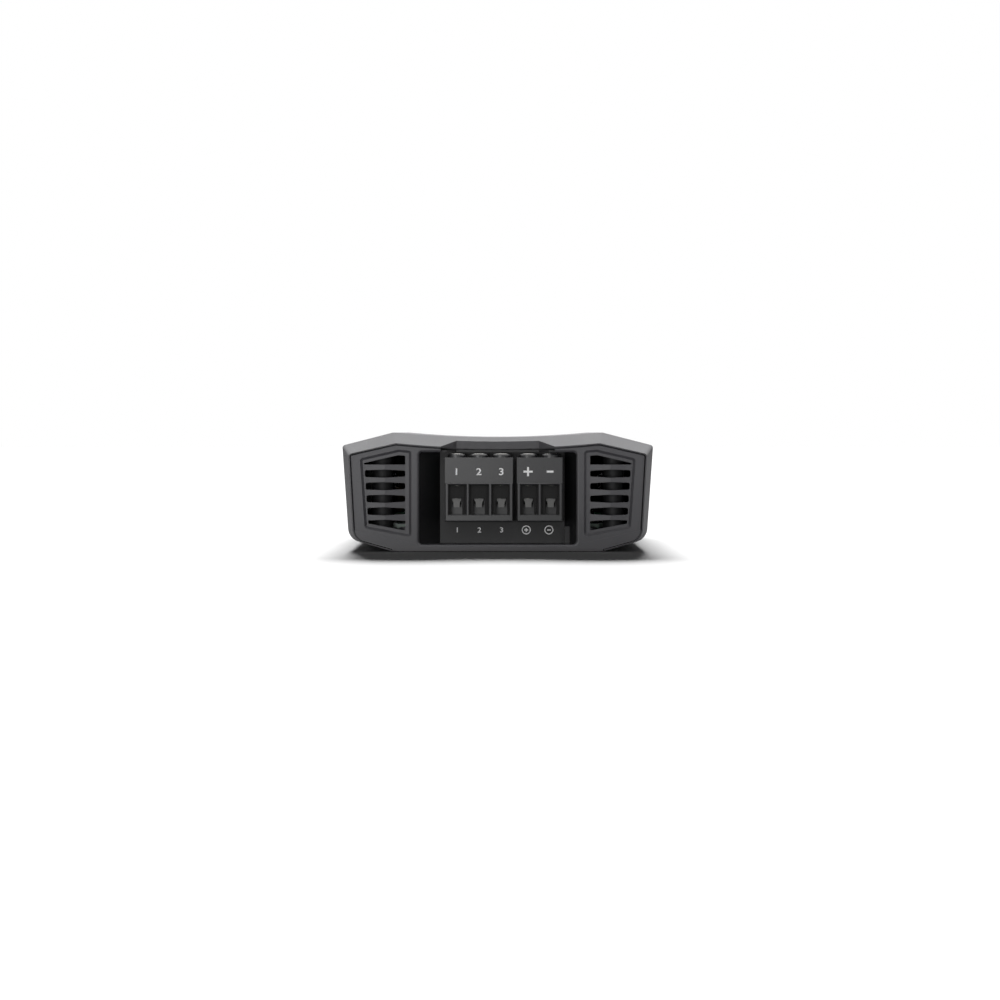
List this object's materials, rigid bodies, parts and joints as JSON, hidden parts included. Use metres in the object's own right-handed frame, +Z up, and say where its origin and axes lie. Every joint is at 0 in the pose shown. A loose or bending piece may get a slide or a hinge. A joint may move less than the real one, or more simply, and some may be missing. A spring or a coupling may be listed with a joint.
{
  "type": "car amplifier",
  "caption": "Compact cast car amplifier with a vented moulded cap at each end, pull-off screw terminal plugs at one end and signal sockets and trimmers at the other.",
  "frame": {"origin": "middle of the underside, on the surface that the amplifier stands on", "axes": "+Z up, +X to the right as seen from the plug end, the plug end faces -Y and the control end +Y"},
  "size_m": [0.1068, 0.18, 0.0405],
  "materials": {
    "case_paint": "fine satin powder coat on a cast aluminium case",
    "trim_plastic": "satin moulded strip",
    "cap_plastic": "satin charcoal moulding",
    "bay_plastic": "matt black moulding",
    "cover_paint": "black powder coat on steel sheet",
    "sheet_plastic": "translucent insulating film",
    "black_steel": "black zinc plate",
    "plug_plastic": "satin charcoal moulding",
    "terminal_steel": "nickel plated steel",
    "foot_steel": "dull nickel plated steel",
    "contact_metal": "dark plated cage",
    "pin_metal": "tinned brass",
    "board_laminate": "solder mask on glass laminate",
    "component_plastic": "moulded black",
    "barrel_metal": "bright nickel plate",
    "red_plastic": "moulded red",
    "white_plastic": "moulded white",
    "knob_plastic": "satin black",
    "lens": "clear light pipe",
    "can_sleeve": "shrink sleeve on an aluminium can",
    "film_box": "potted plastic box",
    "ferrite": "coated ferrite",
    "copper_wire": "enamelled copper wire",
    "clamp_steel": "zinc plated steel"
  },
  "bodies": {
    "chassis": {"board_chips": "component_plastic", "board_screws": "black_steel", "bottom_cover": "cover_paint", "case": "case_paint", "clamp_bars": "clamp_steel", "clamp_screws": "black_steel", "control_board": "board_laminate", "control_pots": "component_plastic", "cover_screws": "black_steel", "electrolytic_capacitors": "can_sleeve", "end_cap_screws": "black_steel", "film_capacitors": "film_box", "front_bay": "bay_plastic", "front_end_cap": "cap_plastic", "heat_sheets": "sheet_plastic", "input_choke_core": "ferrite", "input_choke_winding": "copper_wire", "insulator_sheet": "sheet_plastic", "link_header": "pin_metal", "main_board": "board_laminate", "mode_switch": "component_plastic", "output_choke_core": "ferrite", "output_choke_winding": "copper_wire", "power_header": "plug_plastic", "power_header_pins": "pin_metal", "power_transistors": "component_plastic", "rca_barrels": "barrel_metal", "rca_body": "component_plastic", "rca_insulator_lower": "red_plastic", "rca_insulator_upper": "white_plastic", "rear_bay": "bay_plastic", "rear_end_cap": "cap_plastic", "remote_jack": "component_plastic", "side_trim": "trim_plastic", "speaker_header": "plug_plastic", "speaker_header_pins": "pin_metal", "status_light": "lens", "transformer_core": "ferrite", "transformer_winding": "copper_wire"},
    "power_plug_body": {"power_plug": "plug_plastic", "power_contact_1": "contact_metal", "power_contact_2": "contact_metal", "power_contact_3": "contact_metal"},
    "power_foot_body_1": {"power_foot_1": "foot_steel"},
    "power_screw_body_1": {"power_screw_1": "terminal_steel"},
    "power_foot_body_2": {"power_foot_2": "foot_steel"},
    "power_screw_body_2": {"power_screw_2": "terminal_steel"},
    "power_foot_body_3": {"power_foot_3": "foot_steel"},
    "power_screw_body_3": {"power_screw_3": "terminal_steel"},
    "speaker_plug_body": {"speaker_plug": "plug_plastic", "speaker_contact_1": "contact_metal", "speaker_contact_2": "contact_metal"},
    "speaker_foot_body_1": {"speaker_foot_1": "foot_steel"},
    "speaker_screw_body_1": {"speaker_screw_1": "terminal_steel"},
    "speaker_foot_body_2": {"speaker_foot_2": "foot_steel"},
    "speaker_screw_body_2": {"speaker_screw_2": "terminal_steel"},
    "boost_knob_body": {"boost_knob": "knob_plastic"},
    "filter_knob_body": {"filter_knob": "knob_plastic"},
    "gain_knob_body": {"gain_knob": "knob_plastic"},
    "mode_button_body": {"mode_switch_button": "plug_plastic"}
  },
  "joints": [
    {"name": "power_plug_slide", "type": "slide", "parent": "chassis", "child": "power_plug_body", "axis": [0, -1, 0], "range_m": [0, 0.012]},
    {"name": "power_foot_slide_1", "type": "slide", "parent": "power_plug_body", "child": "power_foot_body_1", "axis": [0, 0, -1], "range_m": [0, 0.0022]},
    {"name": "power_screw_turn_1", "type": "hinge", "parent": "power_foot_body_1", "child": "power_screw_body_1", "pos_m": [-0.014, -0.085, 0.02], "axis": [0, 0, -1], "range_deg": [0, 1584]},
    {"name": "power_foot_slide_2", "type": "slide", "parent": "power_plug_body", "child": "power_foot_body_2", "axis": [0, 0, -1], "range_m": [0, 0.0022]},
    {"name": "power_screw_turn_2", "type": "hinge", "parent": "power_foot_body_2", "child": "power_screw_body_2", "pos_m": [-0.00638, -0.085, 0.02], "axis": [0, 0, -1], "range_deg": [0, 1584]},
    {"name": "power_foot_slide_3", "type": "slide", "parent": "power_plug_body", "child": "power_foot_body_3", "axis": [0, 0, -1], "range_m": [0, 0.0022]},
    {"name": "power_screw_turn_3", "type": "hinge", "parent": "power_foot_body_3", "child": "power_screw_body_3", "pos_m": [0.00124, -0.085, 0.02], "axis": [0, 0, -1], "range_deg": [0, 1584]},
    {"name": "speaker_plug_slide", "type": "slide", "parent": "chassis", "child": "speaker_plug_body", "axis": [0, -1, 0], "range_m": [0, 0.012]},
    {"name": "speaker_foot_slide_1", "type": "slide", "parent": "speaker_plug_body", "child": "speaker_foot_body_1", "axis": [0, 0, -1], "range_m": [0, 0.0022]},
    {"name": "speaker_screw_turn_1", "type": "hinge", "parent": "speaker_foot_body_1", "child": "speaker_screw_body_1", "pos_m": [0.01045, -0.085, 0.02], "axis": [0, 0, -1], "range_deg": [0, 1584]},
    {"name": "speaker_foot_slide_2", "type": "slide", "parent": "speaker_plug_body", "child": "speaker_foot_body_2", "axis": [0, 0, -1], "range_m": [0, 0.0022]},
    {"name": "speaker_screw_turn_2", "type": "hinge", "parent": "speaker_foot_body_2", "child": "speaker_screw_body_2", "pos_m": [0.01807, -0.085, 0.02], "axis": [0, 0, -1], "range_deg": [0, 1584]},
    {"name": "boost_knob_turn", "type": "hinge", "parent": "chassis", "child": "boost_knob_body", "pos_m": [0.004, 0.078, 0.025], "axis": [0, -1, 0], "range_deg": [-140, 140]},
    {"name": "filter_knob_turn", "type": "hinge", "parent": "chassis", "child": "filter_knob_body", "pos_m": [-0.0045, 0.078, 0.025], "axis": [0, -1, 0], "range_deg": [-140, 140]},
    {"name": "gain_knob_turn", "type": "hinge", "parent": "chassis", "child": "gain_knob_body", "pos_m": [-0.013, 0.078, 0.025], "axis": [0, -1, 0], "range_deg": [-140, 140]},
    {"name": "mode_switch_slide", "type": "slide", "parent": "chassis", "child": "mode_button_body", "axis": [1, 0, 0], "range_m": [0, 0.003]}
  ],
  "couplings": [
    {"joint": "power_screw_turn_1", "follows": "power_foot_slide_1", "rad_per_m": 12566},
    {"joint": "power_screw_turn_2", "follows": "power_foot_slide_2", "rad_per_m": 12566},
    {"joint": "power_screw_turn_3", "follows": "power_foot_slide_3", "rad_per_m": 12566},
    {"joint": "speaker_screw_turn_1", "follows": "speaker_foot_slide_1", "rad_per_m": 12566},
    {"joint": "speaker_screw_turn_2", "follows": "speaker_foot_slide_2", "rad_per_m": 12566}
  ]
}
